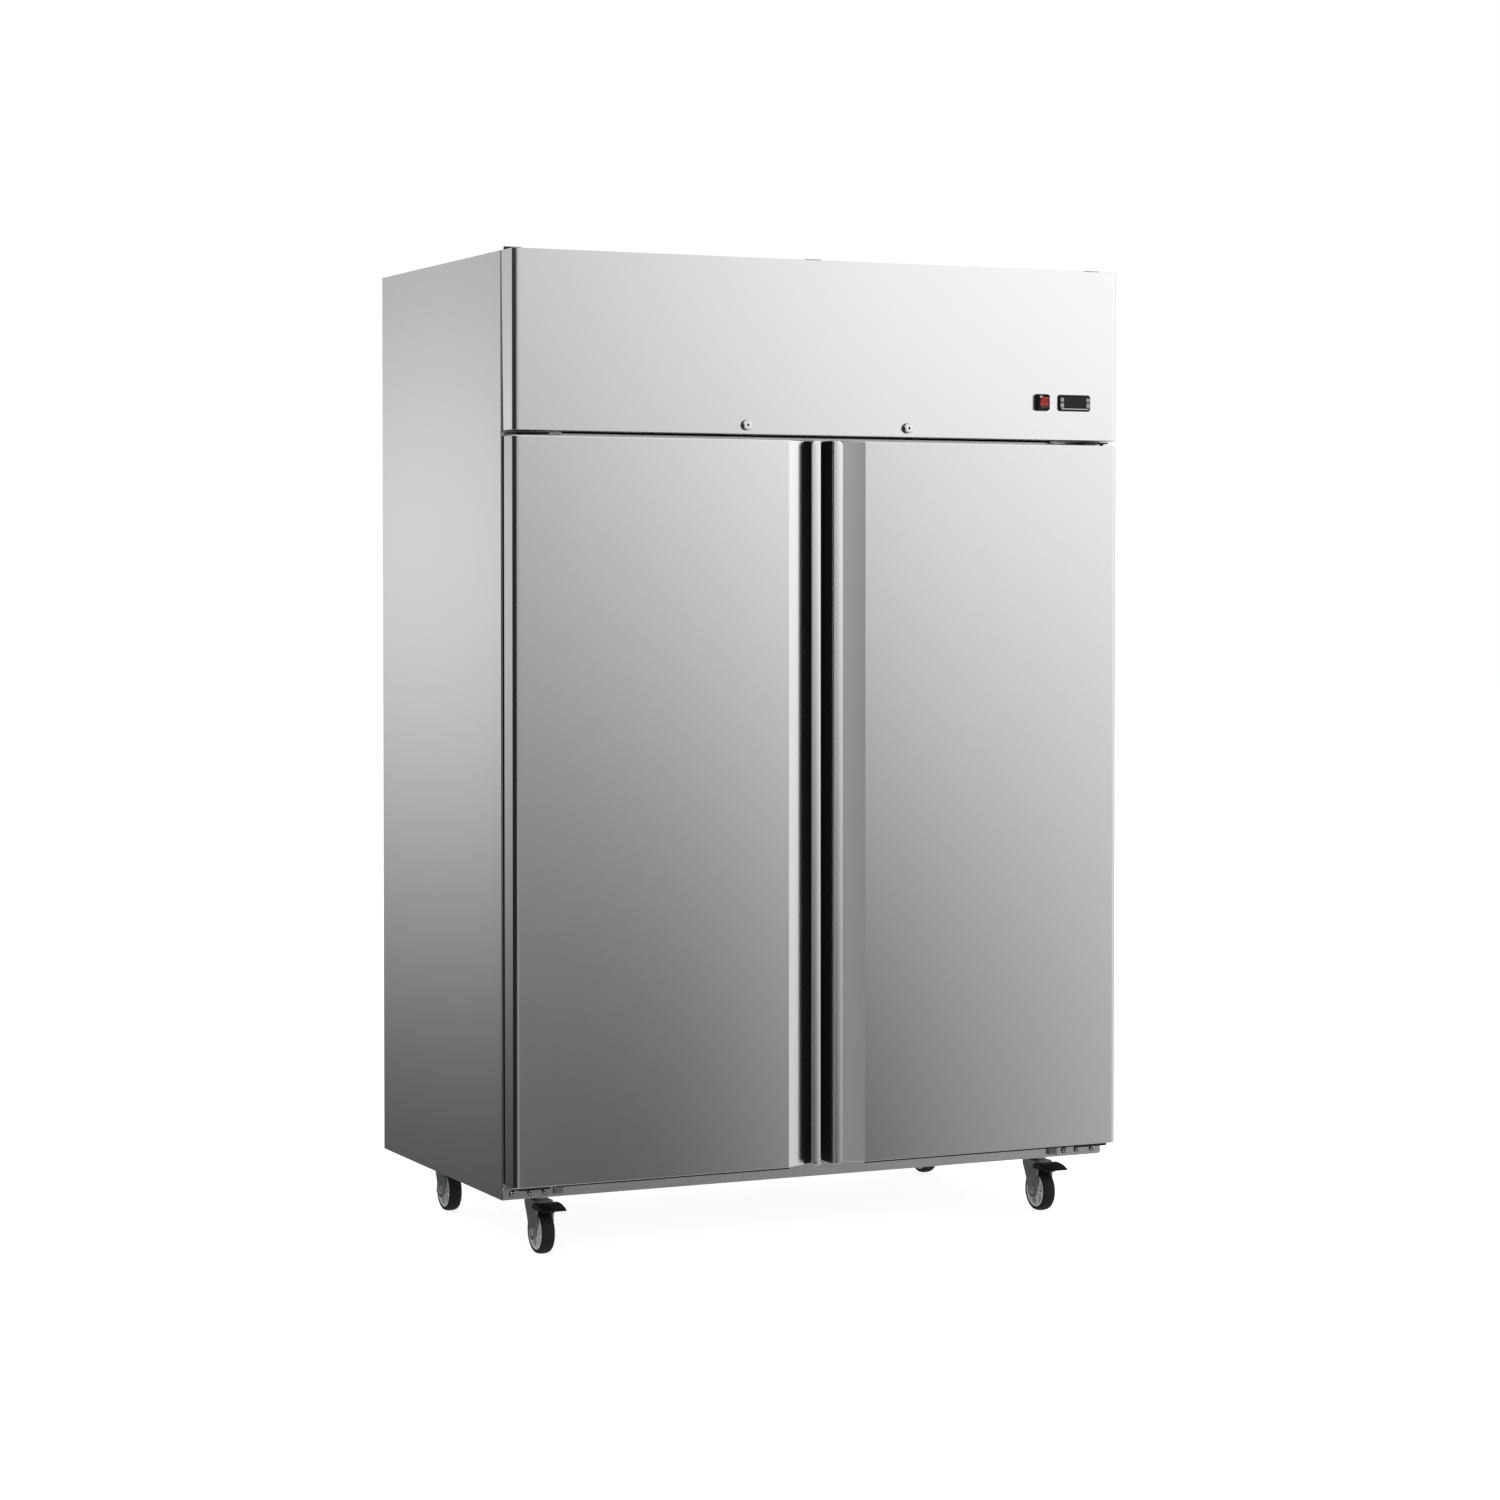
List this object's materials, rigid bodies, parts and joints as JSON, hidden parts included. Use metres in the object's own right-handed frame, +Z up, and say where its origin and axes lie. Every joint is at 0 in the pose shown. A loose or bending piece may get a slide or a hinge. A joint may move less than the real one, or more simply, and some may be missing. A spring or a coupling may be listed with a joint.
{
  "type": "two-door reach-in refrigerator",
  "caption": "Upright commercial reach-in refrigerator with two full-height hinged doors, recessed pull handles, flip-up top panel, inner wire shelves and braked swivel casters.",
  "frame": {"origin": "on the floor plane, under the centre of the whole object's box", "axes": "+Z up, -Y out of the doors, +X to the right as seen from the front"},
  "size_m": [1.372, 0.8136, 2.015],
  "materials": {
    "brushed_steel": "brushed",
    "galvanised": "galvanised",
    "foam": "matte",
    "gasket": "matte",
    "wire": "coated",
    "white_cover": "satin",
    "coil": "satin",
    "black_paint": "gloss",
    "copper": "satin",
    "dark_steel": "satin",
    "bolt": "satin",
    "caster_steel": "zinc plated",
    "tyre": "matte",
    "hub": "satin",
    "black_plastic": "satin",
    "red_plastic": "gloss",
    "key_grey": "matte",
    "chrome": "polished"
  },
  "bodies": {
    "cabinet": {"back_panel": "galvanised", "base_pan": "galvanised", "bracket_bolts": "bolt", "cabinet_liner": "brushed_steel", "caster_plates": "caster_steel", "compressor": "black_paint", "condenser_coil": "coil", "control_box": "galvanised", "cord_gland": "black_plastic", "evaporator_coil": "coil", "evaporator_cover": "white_cover", "fan_shroud": "galvanised", "front_frame": "brushed_steel", "hinge_brackets": "dark_steel", "insulation_foam": "foam", "machine_deck": "galvanised", "rear_grille": "galvanised", "refrigerant_pipes": "copper", "shelf_supports": "brushed_steel", "side_panel_left": "brushed_steel", "side_panel_right": "brushed_steel", "top_cover": "galvanised", "wire_shelves": "wire"},
    "door_left": {"door_left_shell": "brushed_steel", "door_left_core": "foam", "door_left_liner": "brushed_steel", "door_left_gasket": "gasket"},
    "door_right": {"door_right_shell": "brushed_steel", "door_right_core": "foam", "door_right_liner": "brushed_steel", "door_right_gasket": "gasket"},
    "flip_panel": {"front_panel": "brushed_steel", "panel_hinge_leaves": "dark_steel", "lock_barrels": "chrome", "switch_bezel": "black_plastic", "controller_case": "black_plastic"},
    "lock_left": {"lock_plug_left": "chrome"},
    "lock_right": {"lock_plug_right": "chrome"},
    "rocker": {"power_rocker": "red_plastic"},
    "key_low_left": {"key_low_left": "key_grey"},
    "key_low_right": {"key_low_right": "key_grey"},
    "key_top_left": {"key_top_left": "key_grey"},
    "key_top_right": {"key_top_right": "key_grey"},
    "condenser_fan": {"condenser_fan": "black_plastic"},
    "evaporator_fan_left": {"evaporator_fan_left": "black_plastic"},
    "evaporator_fan_right": {"evaporator_fan_right": "black_plastic"},
    "caster_front_left": {"fork_front_left": "caster_steel"},
    "wheel_front_left": {"tyre_front_left": "tyre", "wheel_hub_front_left": "hub"},
    "caster_front_right": {"fork_front_right": "caster_steel"},
    "wheel_front_right": {"tyre_front_right": "tyre", "wheel_hub_front_right": "hub"},
    "caster_rear_left": {"fork_rear_left": "caster_steel"},
    "wheel_rear_left": {"tyre_rear_left": "tyre", "wheel_hub_rear_left": "hub"},
    "caster_rear_right": {"fork_rear_right": "caster_steel"},
    "wheel_rear_right": {"tyre_rear_right": "tyre", "wheel_hub_rear_right": "hub"},
    "pedal_front_left": {"brake_pedal_front_left": "black_plastic"},
    "pedal_front_right": {"brake_pedal_front_right": "black_plastic"}
  },
  "joints": [
    {"name": "brake_front_left_press", "type": "hinge", "parent": "caster_front_left", "child": "pedal_front_left", "pos_m": [-0.577, -0.272, 0.099], "axis": [1, 0, 0], "range_deg": [0, 12], "stiffness_Nm_per_rad": 2},
    {"name": "brake_front_right_press", "type": "hinge", "parent": "caster_front_right", "child": "pedal_front_right", "pos_m": [0.577, -0.272, 0.099], "axis": [1, 0, 0], "range_deg": [0, 12], "stiffness_Nm_per_rad": 2},
    {"name": "door_left_swing", "type": "hinge", "parent": "cabinet", "child": "door_left", "pos_m": [-0.662, -0.364, 0.158], "axis": [0, 0, -1], "range_deg": [0, 110], "stiffness_Nm_per_rad": 0.8, "springref_deg": -28.65},
    {"name": "door_right_swing", "type": "hinge", "parent": "cabinet", "child": "door_right", "pos_m": [0.662, -0.364, 0.158], "axis": [0, 0, 1], "range_deg": [0, 110], "stiffness_Nm_per_rad": 0.8, "springref_deg": -28.65},
    {"name": "front_panel_lift", "type": "hinge", "parent": "cabinet", "child": "flip_panel", "pos_m": [0, -0.322, 2.011], "axis": [-1, 0, 0], "range_deg": [0, 85]},
    {"name": "lock_left_turn", "type": "hinge", "parent": "flip_panel", "child": "lock_left", "pos_m": [-0.183, -0.382, 1.669], "axis": [0, -1, 0], "range_deg": [0, 90]},
    {"name": "lock_right_turn", "type": "hinge", "parent": "flip_panel", "child": "lock_right", "pos_m": [0.183, -0.382, 1.669], "axis": [0, 1, 0], "range_deg": [0, 90]},
    {"name": "power_rocker_tip", "type": "hinge", "parent": "flip_panel", "child": "rocker", "pos_m": [0.501, -0.396, 1.729], "axis": [-1, 0, 0], "range_deg": [0, 22]},
    {"name": "spin_condenser_fan", "type": "hinge", "parent": "cabinet", "child": "condenser_fan", "pos_m": [0.08, -0.115, 1.817], "axis": [0, 1, 0], "continuous": true},
    {"name": "spin_evaporator_fan_left", "type": "hinge", "parent": "cabinet", "child": "evaporator_fan_left", "pos_m": [-0.24, -0.064, 1.5125], "axis": [0, 1, 0], "continuous": true},
    {"name": "spin_evaporator_fan_right", "type": "hinge", "parent": "cabinet", "child": "evaporator_fan_right", "pos_m": [0.24, -0.064, 1.5125], "axis": [0, 1, 0], "continuous": true},
    {"name": "switch_key_low_left", "type": "slide", "parent": "flip_panel", "child": "key_low_left", "axis": [0, 1, 0], "range_m": [0, 0.0007], "stiffness_N_per_m": 800},
    {"name": "switch_key_low_right", "type": "slide", "parent": "flip_panel", "child": "key_low_right", "axis": [0, 1, 0], "range_m": [0, 0.0007], "stiffness_N_per_m": 800},
    {"name": "switch_key_top_left", "type": "slide", "parent": "flip_panel", "child": "key_top_left", "axis": [0, 1, 0], "range_m": [0, 0.0007], "stiffness_N_per_m": 800},
    {"name": "switch_key_top_right", "type": "slide", "parent": "flip_panel", "child": "key_top_right", "axis": [0, 1, 0], "range_m": [0, 0.0007], "stiffness_N_per_m": 800},
    {"name": "swivel_front_left", "type": "hinge", "parent": "cabinet", "child": "caster_front_left", "pos_m": [-0.577, -0.232, 0.115], "axis": [0, 0, 1], "continuous": true},
    {"name": "swivel_front_right", "type": "hinge", "parent": "cabinet", "child": "caster_front_right", "pos_m": [0.577, -0.232, 0.115], "axis": [0, 0, 1], "continuous": true},
    {"name": "swivel_rear_left", "type": "hinge", "parent": "cabinet", "child": "caster_rear_left", "pos_m": [-0.577, 0.303, 0.115], "axis": [0, 0, 1], "continuous": true},
    {"name": "swivel_rear_right", "type": "hinge", "parent": "cabinet", "child": "caster_rear_right", "pos_m": [0.577, 0.303, 0.115], "axis": [0, 0, 1], "continuous": true},
    {"name": "wheel_front_left_roll", "type": "hinge", "parent": "caster_front_left", "child": "wheel_front_left", "pos_m": [-0.577, -0.257, 0.045], "axis": [1, 0, 0], "continuous": true},
    {"name": "wheel_front_right_roll", "type": "hinge", "parent": "caster_front_right", "child": "wheel_front_right", "pos_m": [0.577, -0.257, 0.045], "axis": [1, 0, 0], "continuous": true},
    {"name": "wheel_rear_left_roll", "type": "hinge", "parent": "caster_rear_left", "child": "wheel_rear_left", "pos_m": [-0.577, 0.278, 0.045], "axis": [1, 0, 0], "continuous": true},
    {"name": "wheel_rear_right_roll", "type": "hinge", "parent": "caster_rear_right", "child": "wheel_rear_right", "pos_m": [0.577, 0.278, 0.045], "axis": [1, 0, 0], "continuous": true}
  ]
}
